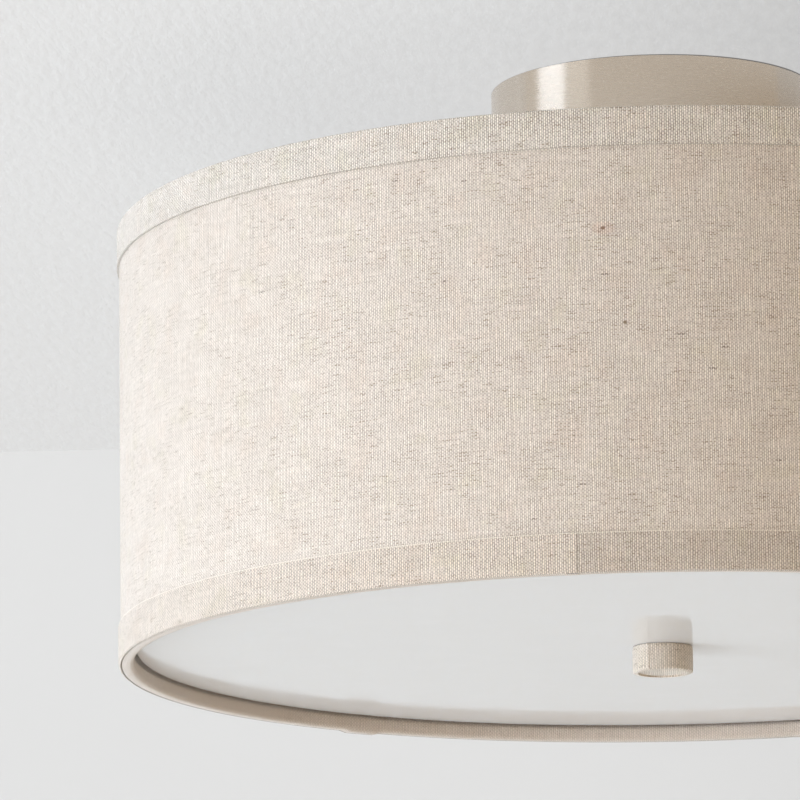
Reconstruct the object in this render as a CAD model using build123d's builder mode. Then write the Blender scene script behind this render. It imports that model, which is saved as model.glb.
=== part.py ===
from build123d import *
import os
from math import cos, pi, radians, sin, tan

os.makedirs("parts", exist_ok=True)

# A semi-flush drum light. Sizes in mm. The ceiling is the plane z = 0, and the light hangs below it.
# The lamp pipe's axis is Z. The linen lap of the shade is on the far side, and the near side is -Y.

# ---------------------------------------------------------------- driving sizes
# Shade
shade_diameter = 406.4      # over the trim bands
shade_height = 165.0
shade_drop = 53.5           # from the ceiling to the shade's top edge
linen_thickness = 0.6
liner_thickness = 0.5
trim_thickness = 0.8
trim_width = 14.0           # how far a trim band shows on the outside
hem_height = 3.4            # how far a trim band turns back on the inside
hem_inner_round = 1.5
hem_outer_round = 0.9
ring_wire = 2.6
layer_gap = 0.05            # between rolled layers
lap_width = 10.0            # the linen's overlap
lap_angle = 125.0
band_lap_width = 5.0
band_lap_thickness = 0.35
band_lap_angles = (131.0, 261.5)

# Spider that carries the shade
spider_recess = 11.5        # from the shade's top edge down to the spider washer
spider_washer_radius = 21.0
spider_washer_thickness = 1.6
spider_arm_wire = 3.0
spider_arm_overlap = 6.3    # how far an arm runs in over the washer
spider_arm_bend = 13.0      # how far inside the ring an arm turns up
spider_arms = 3
notch_gap = 0.4

# Ceiling plate and canopy
strap_length = 104.0
strap_width = 19.0
strap_thickness = 1.6
strap_hole = 10.2
wide_box_spacing = 88.9     # screw spacing of a 4 in outlet box
narrow_box_spacing = 69.85  # screw spacing of a 3 in outlet box
box_slot_width = 4.6
canopy_screw_reach = 24.0   # from the axis
canopy_screw_thread = 4.1
canopy_screw_head = 8.0
canopy_screw_head_height = 2.4
driver_slot_width = 1.2
driver_slot_depth = 1.2
canopy_diameter = 122.0
canopy_height = 25.0
canopy_wall = 0.9
canopy_corner = 3.0
canopy_screw_clearance = 0.55
cap_nut_radius = 5.5
cap_nut_skirt = 4.0
cap_nut_flange = 1.2
cap_nut_engagement = 6.0
end_clearance = 0.5
ground_screw_reach = 13.0
ground_screw_thread = 3.8
ground_screw_head = 8.5
ground_screw_head_height = 2.2
ground_screw_stub = 2.0     # how far the ground screw shows above the strap

# Lamp pipe and its nuts
pipe_diameter = 9.7
pipe_bore = 6.4
thread_clearance = 0.05
pipe_nut_thickness = 4.0
pipe_nut_flats = 14.3
lock_washer_thickness = 0.8
lock_washer_radius = 8.0
ground_ring_thickness = 0.8
ground_ring_radius = 7.6
ground_tab_reach = 13.0
ground_tab_width = 5.0
pipe_top_stub = 3.5
neck_diameter = 19.0
neck_bore = 10.4
neck_edge = 0.6

# Cluster that carries the sockets
cluster_drop = 110.0        # from the ceiling to the cluster's top
cluster_height = 32.0
cluster_radius = 23.0
cluster_wall = 1.2
cluster_corner = 2.0
cover_thickness = 1.2
cover_spigot_height = 3.0
cover_spigot_wall = 2.2
cover_gap = 0.1
cover_screw_thread = 2.4
cover_screw_head = 4.4
cover_screw_head_height = 1.6
pipe_end_stub = 2.0
block_gap = 3.0             # from the lamp pipe's end down to the terminal block
block_height = 11.0
block_flats = 24.0
socket_height = 15.0        # from the cluster's top down to the sockets' axes
socket_angles = (90.0, 210.0, 330.0)
arm_start = 19.0            # from the axis

# Sockets and bulbs, from the axis outwards
socket_start = 27.0
socket_rear_length = 16.0
socket_rear_radius = 16.0
socket_arm_depth = 8.0
socket_length = 44.0
socket_radius = 18.5
socket_shoulder = 5.0
socket_lip = 0.8
arm_nut_thickness = 3.6
contact_radius = 6.0
contact_thickness = 0.8
contact_button_radius = 3.0
contact_height = 2.0
shell_thickness = 0.6
shell_setback = 2.0         # from the socket's mouth
shell_length = 22.0
bulb_base_radius = 13.15
bulb_base_clearance = 0.10
bulb_thread_depth = 0.9
bulb_thread_pitch = 3.63
bulb_tip_radius = 4.5
bulb_tip_height = 1.5
bulb_base_length = 23.5
bulb_collar_length = 2.5
bulb_thread_turns = 5
bulb_length = 109.0
bulb_radius = 30.0
bulb_neck_radius = 13.0
bulb_rim_setback = 10.0     # from the globe's centre back to the housing's rim
globe_wall = 1.2

# Rod, diffuser and finial
rod_diameter = 6.3
rod_nut_thickness = 4.0
rod_nut_flats = 11.0
rod_engagement = 6.7        # how far the rod reaches into the finial
diffuser_edge_gap = 1.2     # between the diffuser and the turned-in hem
diffuser_thickness = 3.0
diffuser_lift = 6.0         # from the shade's bottom edge up to the diffuser's lower face
diffuser_hole = 8.0
diffuser_edge = 0.5
stop_washer_radius = 10.0
stop_washer_thickness = 1.2
finial_diameter = 22.7      # over the linen
finial_height = 9.75        # below the diffuser
finial_linen = 0.7
finial_top_gap = 0.3
finial_washer_radius = 8.5
finial_washer_thickness = 0.9
finial_recess_clearance = 0.3
insert_radius = 4.6
insert_length = 7.5
wrap_lap_width = 3.0
wrap_lap_angle = 235.0

# Wires
wire_diameter = 1.8
wire_circle = 1.75          # from the pipe's axis to each wire
arm_wire_offset = 1.4
connector_length = 18.0
connector_mouth_radius = 5.2
connector_tip_radius = 3.2
connector_bore = 2.4
connector_depth = 12.0

# ---------------------------------------------------------------- places worked out from them
shade_radius = shade_diameter / 2
shade_top = -shade_drop
shade_bottom = shade_top - shade_height
linen_outer = shade_radius - trim_thickness - layer_gap
linen_inner = linen_outer - linen_thickness
liner_outer = linen_inner - layer_gap
liner_inner = liner_outer - liner_thickness
ring_radius = liner_inner - layer_gap - ring_wire / 2
hem_outer = ring_radius - ring_wire / 2 - layer_gap
hem_inner = hem_outer - trim_thickness
wall_top = shade_top - trim_thickness - layer_gap
wall_bottom = shade_bottom + trim_thickness + layer_gap
top_ring_height = wall_top - ring_wire / 2
bottom_ring_height = wall_bottom + ring_wire / 2

pipe_radius = pipe_diameter / 2
pipe_hole_radius = pipe_radius + thread_clearance
canopy_radius = canopy_diameter / 2
canopy_bottom = -canopy_height
canopy_floor = canopy_bottom + canopy_wall
slot_length = (wide_box_spacing - narrow_box_spacing) / 2 + box_slot_width
slot_spacing = (wide_box_spacing + narrow_box_spacing) / 2
canopy_screw_end = canopy_bottom - cap_nut_engagement
ring_terminal_height = canopy_floor + lock_washer_thickness
canopy_nut_height = ring_terminal_height + ground_ring_thickness
pipe_top = canopy_nut_height + pipe_nut_thickness + pipe_top_stub

spider_washer_top = shade_top - spider_recess
spider_washer_bottom = spider_washer_top - spider_washer_thickness
spider_wire_height = (spider_washer_top + spider_washer_bottom) / 2

cluster_top = -cluster_drop
cluster_bottom = cluster_top - cluster_height
cluster_ceiling = cluster_top - cluster_wall
cover_bottom = cluster_bottom - cover_thickness
cover_spigot_radius = cluster_radius - cluster_wall - cover_gap
cover_screw_height = cluster_bottom + cover_spigot_height / 2
pipe_end = cluster_ceiling - pipe_nut_thickness - pipe_end_stub
block_top = pipe_end - block_gap
block_bottom = block_top - block_height
socket_axis = cluster_top - socket_height

rod_radius = rod_diameter / 2
rod_hole_radius = rod_radius + thread_clearance
diffuser_bottom = shade_bottom + diffuser_lift
diffuser_top = diffuser_bottom + diffuser_thickness
diffuser_radius = hem_inner - diffuser_edge_gap
rod_end = diffuser_bottom - rod_engagement
stop_nut_height = diffuser_top + stop_washer_thickness
finial_top = diffuser_bottom - finial_top_gap
finial_bottom = diffuser_bottom - finial_height
core_radius = finial_diameter / 2 - finial_linen
core_bottom = finial_bottom + finial_linen

socket_floor = socket_start + socket_rear_length
socket_mouth = socket_start + socket_length
arm_end = socket_start + socket_arm_depth
shell_inner = bulb_base_radius + bulb_base_clearance
shell_outer = shell_inner + shell_thickness
socket_cavity = shell_outer + layer_gap
bulb_start = socket_floor + contact_height
bulb_end = bulb_start + bulb_length
bulb_base_start = bulb_start + bulb_tip_height
bulb_base_end = bulb_start + bulb_base_length
bulb_centre = bulb_end - bulb_radius
bulb_rim = bulb_centre - bulb_rim_setback
bulb_rim_radius = (bulb_radius**2 - bulb_rim_setback**2) ** 0.5
wire_radius = wire_diameter / 2
ground_wire_seat = ground_screw_reach + ground_screw_thread / 2 + wire_radius + layer_gap


# ---------------------------------------------------------------- shared shapes
def block(x1, y1, x2, y2, mode=Mode.ADD):
    """A rectangle of the open sketch, given by two opposite corners."""
    with Locations(((x1 + x2) / 2, (y1 + y2) / 2)):
        Rectangle(abs(x2 - x1), abs(y2 - y1), mode=mode)


def tube(inner, outer, bottom, top):
    """A straight round sleeve on the lamp pipe's axis."""
    with BuildPart() as sleeve:
        with BuildSketch(Plane.XY.offset(bottom)):
            Circle(outer)
            Circle(inner, mode=Mode.SUBTRACT)
        extrude(amount=top - bottom)
    return sleeve


def wire_ring(height):
    """A closed ring of shade wire."""
    with BuildPart() as ring:
        with BuildSketch(Plane.XZ):
            with Locations((ring_radius, height)):
                Circle(ring_wire / 2)
        revolve(axis=Axis.Z)
    return ring


def sector(inner, outer, angle, width, bottom, top):
    """A short stretch of a thin cylinder wall, for a lap of cloth."""
    span = width / outer * 180 / pi
    with BuildPart() as strip:
        with BuildSketch(Plane.XZ.rotated((0, 0, angle - span / 2))):
            block(inner, bottom, outer, top)
        revolve(axis=Axis.Z, revolution_arc=span)
    return strip.part


def hex_nuts(flats, thickness, bore, seats):
    """Hexagon nuts on the Z axis, one standing on each seat."""
    with BuildPart() as nuts:
        for seat in seats:
            with BuildSketch(Plane.XY.offset(seat)):
                RegularPolygon(flats / 2, side_count=6, major_radius=False)
                Circle(bore, mode=Mode.SUBTRACT)
            extrude(amount=thickness)
    return nuts


def axial_plane(angle):
    """The upright plane through a socket's axis: x runs outwards along it, and y is up."""
    outwards = (cos(radians(angle)), sin(radians(angle)), 0)
    return Plane(origin=(0, 0, socket_axis), x_dir=outwards, z_dir=(outwards[1], -outwards[0], 0))


def socket_line(angle):
    """The axis of a socket."""
    return Axis((0, 0, socket_axis), (cos(radians(angle)), sin(radians(angle)), 0))


def cross_plane(angle, distance):
    """The plane square to a socket's axis, at a distance from the lamp pipe: x is level."""
    outwards = (cos(radians(angle)), sin(radians(angle)), 0)
    origin = (distance * outwards[0], distance * outwards[1], socket_axis)
    return Plane(origin=origin, x_dir=(-outwards[1], outwards[0], 0), z_dir=outwards)


def bend_radii(points):
    """The bend at each inner point of a wire's route, as large as its two runs allow."""
    radii = []
    for before, here, after in zip(points, points[1:], points[2:]):
        run_in = Vector(here) - Vector(before)
        run_out = Vector(after) - Vector(here)
        turn = radians(run_in.get_angle(run_out))
        radii.append(0.45 * min(run_in.length, run_out.length) / tan(turn / 2))
    return radii


def lead(points):
    """An insulated wire along a route of straight runs and bends."""
    radii = bend_radii(points)
    with BuildPart() as wire:
        with BuildLine() as route:
            FilletPolyline(*points, radius=radii)
        with BuildSketch(Plane(origin=route.line @ 0, z_dir=route.line % 0)):
            Circle(wire_radius)
        sweep(path=route.wire())
    print(f"wire {route.wire().length:.1f} mm long, tightest bend {min(radii):.1f} mm")
    return wire


# ---------------------------------------------------------------- ceiling plate
# Pressed steel strap with a slot for each outlet-box screw.
with BuildPart() as crossbar:
    with BuildSketch(Plane.XY):
        SlotOverall(strap_length, strap_width)
        with Locations((-slot_spacing / 2, 0), (slot_spacing / 2, 0)):
            SlotOverall(slot_length, box_slot_width, mode=Mode.SUBTRACT)
        with Locations((-canopy_screw_reach, 0), (canopy_screw_reach, 0)):
            Circle(canopy_screw_thread / 2 + thread_clearance, mode=Mode.SUBTRACT)
        with Locations((ground_screw_reach, 0)):
            Circle(ground_screw_thread / 2 + thread_clearance, mode=Mode.SUBTRACT)
        Circle(strap_hole / 2, mode=Mode.SUBTRACT)
    extrude(amount=-strap_thickness)
crossbar.part.label = "crossbar"
export_step(crossbar.part, "parts/crossbar.step")

# Two long screws that hang through the strap and draw the canopy up.
with BuildPart() as canopy_screws:
    with BuildSketch(Plane.XY.offset(canopy_screw_end)):
        with Locations((-canopy_screw_reach, 0), (canopy_screw_reach, 0)):
            Circle(canopy_screw_thread / 2)
    extrude(amount=-canopy_screw_end)
    with BuildSketch(Plane.XY):
        with Locations((-canopy_screw_reach, 0), (canopy_screw_reach, 0)):
            Circle(canopy_screw_head / 2)
    extrude(amount=canopy_screw_head_height)
    with BuildSketch(Plane.XY.offset(canopy_screw_head_height)):
        with Locations((-canopy_screw_reach, 0), (canopy_screw_reach, 0)):
            Rectangle(driver_slot_width, canopy_screw_head)
    extrude(amount=-driver_slot_depth, mode=Mode.SUBTRACT)
canopy_screws.part.label = "canopy_screws"
export_step(canopy_screws.part, "parts/canopy_screws.step")

# Green ground screw, from below, with room under its head for the wire.
with BuildPart() as ground_screw:
    head_top = -strap_thickness - wire_diameter - 2 * layer_gap
    with BuildSketch(Plane.XY.offset(head_top)):
        with Locations((ground_screw_reach, 0)):
            Circle(ground_screw_thread / 2)
    extrude(amount=ground_screw_stub - head_top)
    with BuildSketch(Plane.XY.offset(head_top - ground_screw_head_height)):
        with Locations((ground_screw_reach, 0)):
            RegularPolygon(ground_screw_head / 2, side_count=6, major_radius=False)
    extrude(amount=ground_screw_head_height)
    with BuildSketch(Plane.XY.offset(head_top - ground_screw_head_height)):
        with Locations((ground_screw_reach, 0)):
            Rectangle(driver_slot_width, 2 * ground_screw_head)
    extrude(amount=driver_slot_depth, mode=Mode.SUBTRACT)
ground_screw.part.label = "ground_screw"
export_step(ground_screw.part, "parts/ground_screw.step")

# ---------------------------------------------------------------- canopy
# Spun steel pan that covers the outlet box.
with BuildPart() as canopy:
    with BuildSketch(Plane.XZ) as pan:
        block(0, canopy_bottom, canopy_radius, 0)
        fillet(pan.vertices().group_by(Axis.X)[-1].sort_by(Axis.Y)[0], canopy_corner)
    revolve(axis=Axis.Z)
    with BuildSketch(Plane.XZ) as hollow:
        block(0, canopy_floor, canopy_radius - canopy_wall, 0)
        fillet(hollow.vertices().group_by(Axis.X)[-1].sort_by(Axis.Y)[0], canopy_corner - canopy_wall)
    revolve(axis=Axis.Z, mode=Mode.SUBTRACT)
    with BuildSketch(Plane.XY.offset(canopy_bottom)):
        Circle(pipe_hole_radius)
        with Locations((-canopy_screw_reach, 0), (canopy_screw_reach, 0)):
            Circle(canopy_screw_thread / 2 + canopy_screw_clearance)
    extrude(amount=canopy_wall, mode=Mode.SUBTRACT)
canopy.part.label = "canopy"
export_step(canopy.part, "parts/canopy.step")

# Domed cap nuts under the canopy, on the long screws.
with BuildPart() as cap_nuts:
    for side in (-1, 1):
        centre = side * canopy_screw_reach
        with BuildSketch(Plane.XZ) as profile:
            with BuildLine():
                dome_edge = canopy_bottom - cap_nut_flange - cap_nut_skirt
                neck = cap_nut_radius - cap_nut_flange
                Polyline(
                    (centre, canopy_bottom),
                    (centre + cap_nut_radius, canopy_bottom),
                    (centre + cap_nut_radius, canopy_bottom - cap_nut_flange),
                    (centre + neck, canopy_bottom - cap_nut_flange),
                    (centre + neck, dome_edge),
                )
                JernArc((centre + neck, dome_edge), (0, -1), neck, -90)
                Line((centre, dome_edge - neck), (centre, canopy_bottom))
            make_face()
        revolve(axis=Axis((centre, 0, 0), (0, 0, 1)))
        with BuildSketch(Plane.XY.offset(canopy_bottom)):
            with Locations((centre, 0)):
                Circle(canopy_screw_thread / 2 + thread_clearance)
        extrude(amount=-cap_nut_engagement - end_clearance, mode=Mode.SUBTRACT)
cap_nuts.part.label = "cap_nuts"
export_step(cap_nuts.part, "parts/cap_nuts.step")

# ---------------------------------------------------------------- lamp pipe and what is clamped on it
canopy_washer = tube(pipe_hole_radius, lock_washer_radius, canopy_floor, ring_terminal_height)
canopy_washer.part.label = "canopy_washer"
export_step(canopy_washer.part, "parts/canopy_washer.step")

# Ring terminal of the ground wire, with a tab that the wire stands on.
with BuildPart() as ground_terminal:
    with BuildSketch(Plane.XY.offset(ring_terminal_height)):
        Circle(ground_ring_radius)
        block(-ground_tab_reach, -ground_tab_width / 2, 0, ground_tab_width / 2)
        Circle(pipe_hole_radius, mode=Mode.SUBTRACT)
    extrude(amount=ground_ring_thickness)
ground_terminal.part.label = "ground_terminal"
export_step(ground_terminal.part, "parts/ground_terminal.step")

# Nuts on the pipe: inside the canopy, under the spider, and above and inside the cluster.
pipe_nut_seats = (
    canopy_nut_height,
    spider_washer_bottom - pipe_nut_thickness,
    cluster_top,
    cluster_ceiling - pipe_nut_thickness,
)
pipe_nuts = hex_nuts(pipe_nut_flats, pipe_nut_thickness, pipe_hole_radius, pipe_nut_seats)
pipe_nuts.part.label = "pipe_nuts"
export_step(pipe_nuts.part, "parts/pipe_nuts.step")

lamp_pipe = tube(pipe_bore / 2, pipe_radius, pipe_end, pipe_top)
lamp_pipe.part.label = "lamp_pipe"
export_step(lamp_pipe.part, "parts/lamp_pipe.step")

# Neck between the canopy and the shade.
with BuildPart() as neck_tube:
    with BuildSketch(Plane.XZ) as profile:
        block(neck_bore / 2, spider_washer_top, neck_diameter / 2, canopy_bottom)
        chamfer(profile.vertices().group_by(Axis.X)[-1], neck_edge)
    revolve(axis=Axis.Z)
neck_tube.part.label = "neck_tube"
export_step(neck_tube.part, "parts/neck_tube.step")

# ---------------------------------------------------------------- shade
# Welded top frame: ring, three arms and the washer that slips over the lamp pipe.
with BuildPart() as shade_spider:
    with BuildSketch(Plane.XZ):
        with Locations((ring_radius, top_ring_height)):
            Circle(ring_wire / 2)
    revolve(axis=Axis.Z)
    with BuildSketch(Plane.XY.offset(spider_washer_bottom)):
        Circle(spider_washer_radius)
    extrude(amount=spider_washer_thickness)
    for angle in socket_angles:
        outwards = (cos(radians(angle)), sin(radians(angle)))
        hub_end = spider_washer_radius - spider_arm_overlap
        bend = ring_radius - spider_arm_bend
        with BuildLine() as arm_line:
            FilletPolyline(
                (hub_end * outwards[0], hub_end * outwards[1], spider_wire_height),
                (bend * outwards[0], bend * outwards[1], spider_wire_height),
                (ring_radius * outwards[0], ring_radius * outwards[1], top_ring_height),
                radius=spider_arm_bend,
            )
        with BuildSketch(Plane(origin=arm_line.line @ 0, z_dir=arm_line.line % 0)):
            Circle(spider_arm_wire / 2)
        sweep(path=arm_line.line)
    with BuildSketch(Plane.XY.offset(spider_washer_top + spider_arm_wire)):
        Circle(pipe_hole_radius)
    extrude(amount=-2 * spider_arm_wire - spider_washer_thickness, mode=Mode.SUBTRACT)
shade_spider.part.label = "shade_spider"
export_step(shade_spider.part, "parts/shade_spider.step")

shade_bottom_ring = wire_ring(bottom_ring_height)
shade_bottom_ring.part.label = "shade_bottom_ring"
export_step(shade_bottom_ring.part, "parts/shade_bottom_ring.step")

# Styrene liner that keeps the drum round.
shade_liner = tube(liner_inner, liner_outer, wall_bottom, wall_top)
shade_liner.part.label = "shade_liner"
export_step(shade_liner.part, "parts/shade_liner.step")

# Linen skin, with its overlap between the trim bands.
with BuildPart() as shade_linen:
    with BuildSketch(Plane.XY.offset(wall_bottom)):
        Circle(linen_outer)
        Circle(linen_inner, mode=Mode.SUBTRACT)
    extrude(amount=wall_top - wall_bottom)
    add(
        sector(
            linen_inner,
            linen_outer + linen_thickness,
            lap_angle,
            lap_width,
            shade_bottom + trim_width + layer_gap,
            shade_top - trim_width - layer_gap,
        )
    )
shade_linen.part.label = "shade_linen"
export_step(shade_linen.part, "parts/shade_linen.step")


def trim_band(edge, inwards, lap_at, notches):
    """A linen band folded over a ring. inwards is 1 at the bottom edge and -1 at the top one."""
    shell = trim_thickness
    with BuildPart() as band:
        with BuildSketch(Plane.XZ) as outside:
            block(hem_inner, edge, shade_radius, edge + inwards * trim_width)
            folded_end = 0 if inwards > 0 else -1
            fillet(outside.vertices().group_by(Axis.Y)[folded_end].sort_by(Axis.X)[0], hem_inner_round)
            fillet(outside.vertices().group_by(Axis.Y)[folded_end].sort_by(Axis.X)[-1], hem_outer_round)
        revolve(axis=Axis.Z)
        with BuildSketch(Plane.XZ) as inside:
            block(hem_inner + shell, edge + inwards * shell, shade_radius - shell,
                  edge + inwards * trim_width)
            block(hem_inner, edge + inwards * hem_height, shade_radius - shell,
                  edge + inwards * trim_width)
        revolve(axis=Axis.Z, mode=Mode.SUBTRACT)
        low = min(edge + inwards * hem_outer_round, edge + inwards * trim_width)
        high = max(edge + inwards * hem_outer_round, edge + inwards * trim_width)
        add(sector(shade_radius - shell, shade_radius + band_lap_thickness, lap_at,
                   band_lap_width, low, high))
        for angle in notches:
            outwards = (cos(radians(angle)), sin(radians(angle)), 0)
            side_plane = Plane(
                origin=((hem_inner - shell) * outwards[0], (hem_inner - shell) * outwards[1], edge),
                x_dir=(-outwards[1], outwards[0], 0),
                z_dir=outwards,
            )
            with BuildSketch(side_plane):
                half = spider_arm_wire / 2 + notch_gap
                block(-half, inwards * trim_thickness, half, inwards * trim_width)
            extrude(amount=ring_radius - hem_inner, mode=Mode.SUBTRACT)
    return band


top_trim = trim_band(shade_top, -1, band_lap_angles[0], socket_angles)
top_trim.part.label = "top_trim"
export_step(top_trim.part, "parts/top_trim.step")

bottom_trim = trim_band(shade_bottom, 1, band_lap_angles[1], ())
bottom_trim.part.label = "bottom_trim"
export_step(bottom_trim.part, "parts/bottom_trim.step")

# ---------------------------------------------------------------- cluster
# Drawn steel cup with a hole for the lamp pipe and one for each socket arm.
with BuildPart() as cluster_cup:
    with BuildSketch(Plane.XZ) as cup:
        block(0, cluster_bottom, cluster_radius, cluster_top)
        fillet(cup.vertices().group_by(Axis.X)[-1].sort_by(Axis.Y)[-1], cluster_corner)
    revolve(axis=Axis.Z)
    with BuildSketch(Plane.XY.offset(cluster_bottom)):
        Circle(cluster_radius - cluster_wall)
    extrude(amount=cluster_height - cluster_wall, mode=Mode.SUBTRACT)
    with BuildSketch(Plane.XY.offset(cluster_top)):
        Circle(pipe_hole_radius)
    extrude(amount=-cluster_wall, mode=Mode.SUBTRACT)
    for angle in socket_angles:
        with BuildSketch(cross_plane(angle, arm_start)):
            Circle(pipe_hole_radius)
        extrude(amount=cluster_radius - arm_start + cluster_wall, mode=Mode.SUBTRACT)
    with BuildSketch(Plane.YZ.offset(-cluster_radius - cluster_wall)):
        with Locations((0, cover_screw_height)):
            Circle(cover_screw_thread / 2 + thread_clearance)
    extrude(amount=2 * (cluster_radius + cluster_wall), mode=Mode.SUBTRACT)
cluster_cup.part.label = "cluster_cup"
export_step(cluster_cup.part, "parts/cluster_cup.step")

# Cover with a spigot inside the cup; the rod hangs from it.
with BuildPart() as cluster_cover:
    with BuildSketch(Plane.XY.offset(cover_bottom)):
        Circle(cluster_radius)
        Circle(rod_hole_radius, mode=Mode.SUBTRACT)
    extrude(amount=cover_thickness)
    with BuildSketch(Plane.XY.offset(cluster_bottom)):
        Circle(cover_spigot_radius)
        Circle(cover_spigot_radius - cover_spigot_wall, mode=Mode.SUBTRACT)
    extrude(amount=cover_spigot_height)
    with BuildSketch(Plane.YZ.offset(-cluster_radius)):
        with Locations((0, cover_screw_height)):
            Circle(cover_screw_thread / 2 + thread_clearance)
    extrude(amount=2 * cluster_radius, mode=Mode.SUBTRACT)
cluster_cover.part.label = "cluster_cover"
export_step(cluster_cover.part, "parts/cluster_cover.step")

# Two small screws that hold the cover's spigot.
with BuildPart() as cover_screws:
    for side in (-1, 1):
        with BuildSketch(Plane.YZ.offset(side * (cover_spigot_radius - cover_spigot_wall))):
            with Locations((0, cover_screw_height)):
                Circle(cover_screw_thread / 2)
        extrude(amount=side * (cluster_radius - cover_spigot_radius + cover_spigot_wall))
        with BuildSketch(Plane.YZ.offset(side * cluster_radius)):
            with Locations((0, cover_screw_height)):
                Circle(cover_screw_head / 2)
        extrude(amount=side * cover_screw_head_height)
cover_screws.part.label = "cover_screws"
export_step(cover_screws.part, "parts/cover_screws.step")

# Porcelain block that joins the supply wires to the socket wires.
with BuildPart() as terminal_block:
    with BuildSketch(Plane.XY.offset(block_bottom)):
        RegularPolygon(block_flats / 2, side_count=6, major_radius=False)
    extrude(amount=block_height)
terminal_block.part.label = "terminal_block"
export_step(terminal_block.part, "parts/terminal_block.step")

# Short threaded arms from the cluster to the sockets, and a nut on each.
with BuildPart() as socket_arms:
    for angle in socket_angles:
        with BuildSketch(cross_plane(angle, arm_start)):
            Circle(pipe_radius)
            Circle(pipe_bore / 2, mode=Mode.SUBTRACT)
        extrude(amount=arm_end - arm_start)
socket_arms.part.label = "socket_arms"
export_step(socket_arms.part, "parts/socket_arms.step")

with BuildPart() as arm_nuts:
    for angle in socket_angles:
        with BuildSketch(cross_plane(angle, socket_start - arm_nut_thickness)):
            RegularPolygon(pipe_nut_flats / 2, side_count=6, major_radius=False)
            Circle(pipe_hole_radius, mode=Mode.SUBTRACT)
        extrude(amount=arm_nut_thickness)
arm_nuts.part.label = "arm_nuts"
export_step(arm_nuts.part, "parts/arm_nuts.step")

# ---------------------------------------------------------------- sockets and bulbs
def socket_body(angle):
    """A phenolic lampholder: a thick rear with the arm's hole, and a cup for the screw shell."""
    with BuildPart() as body:
        with BuildSketch(axial_plane(angle)):
            with BuildLine():
                Polyline(
                    (socket_start, pipe_hole_radius),
                    (socket_start, socket_rear_radius),
                    (socket_floor - socket_shoulder, socket_rear_radius),
                    (socket_floor, socket_radius),
                    (socket_mouth - socket_lip, socket_radius),
                    (socket_mouth, socket_radius - socket_lip),
                    (socket_mouth, socket_cavity),
                    (socket_floor, socket_cavity),
                    (socket_floor, 0),
                    (arm_end, 0),
                    (arm_end, pipe_hole_radius),
                    close=True,
                )
            make_face()
        revolve(axis=socket_line(angle))
    return body


def screw_shell(angle):
    """The brass sleeve that the bulb screws into."""
    with BuildPart() as shell:
        with BuildSketch(axial_plane(angle)):
            start = socket_mouth - shell_setback - shell_length
            block(start, shell_inner, start + shell_length, shell_outer)
        revolve(axis=socket_line(angle))
    return shell


def centre_contact(angle):
    """The brass contact on the socket's floor, which the bulb's tip meets."""
    with BuildPart() as contact:
        with BuildSketch(axial_plane(angle)):
            block(socket_floor, 0, socket_floor + contact_thickness, contact_radius)
            block(socket_floor, 0, bulb_start, contact_button_radius)
        revolve(axis=socket_line(angle))
    return contact


def bulb_tip(angle):
    """The soldered tip of the bulb's base."""
    with BuildPart() as tip:
        with BuildSketch(axial_plane(angle)):
            block(bulb_start, 0, bulb_base_start, bulb_tip_radius)
        revolve(axis=socket_line(angle))
    return tip


def bulb_base(angle):
    """The screw base: a cone at the tip, then rolled thread ridges, then a plain collar."""
    thread_length = bulb_thread_turns * bulb_thread_pitch
    thread_start = bulb_base_end - bulb_collar_length - thread_length
    root = bulb_base_radius - bulb_thread_depth
    outline = [(bulb_base_start, 0), (bulb_base_start, bulb_tip_radius), (thread_start, root)]
    for turn in range(bulb_thread_turns):
        ridge = thread_start + turn * bulb_thread_pitch
        outline.append((ridge + 0.25 * bulb_thread_pitch, root))
        outline.append((ridge + 0.5 * bulb_thread_pitch, bulb_base_radius))
        outline.append((ridge + 0.75 * bulb_thread_pitch, bulb_base_radius))
        outline.append((ridge + bulb_thread_pitch, root))
    outline.append((bulb_base_end - bulb_collar_length / 2, bulb_neck_radius))
    outline.append((bulb_base_end, bulb_neck_radius))
    outline.append((bulb_base_end, 0))
    with BuildPart() as base:
        with BuildSketch(axial_plane(angle)):
            with BuildLine():
                Polyline(*outline, close=True)
            make_face()
        revolve(axis=socket_line(angle))
    return base


def bulb_housing(angle):
    """The white plastic cone between the base and the globe."""
    with BuildPart() as housing:
        with BuildSketch(axial_plane(angle)):
            with BuildLine():
                Line((bulb_base_end, 0), (bulb_base_end, bulb_neck_radius))
                Spline(
                    (bulb_base_end, bulb_neck_radius),
                    (bulb_rim, bulb_rim_radius),
                    tangents=((1, 0.1), (1, 0.35)),
                )
                Line((bulb_rim, bulb_rim_radius), (bulb_rim, 0))
                Line((bulb_rim, 0), (bulb_base_end, 0))
            make_face()
        revolve(axis=socket_line(angle))
    return housing


def bulb_globe(angle):
    """The opal globe, a thin shell closed by the housing."""
    inner = bulb_radius - globe_wall
    inner_rim = (inner**2 - bulb_rim_setback**2) ** 0.5
    with BuildPart() as globe:
        with BuildSketch(axial_plane(angle)):
            with BuildLine():
                RadiusArc((bulb_rim, bulb_rim_radius), (bulb_centre, bulb_radius), bulb_radius)
                RadiusArc((bulb_centre, bulb_radius), (bulb_end, 0), bulb_radius)
                Line((bulb_end, 0), (bulb_end - globe_wall, 0))
                RadiusArc((bulb_end - globe_wall, 0), (bulb_centre, inner), -inner)
                RadiusArc((bulb_centre, inner), (bulb_rim, inner_rim), -inner)
                Line((bulb_rim, inner_rim), (bulb_rim, bulb_rim_radius))
            make_face()
        revolve(axis=socket_line(angle))
    return globe


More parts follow.
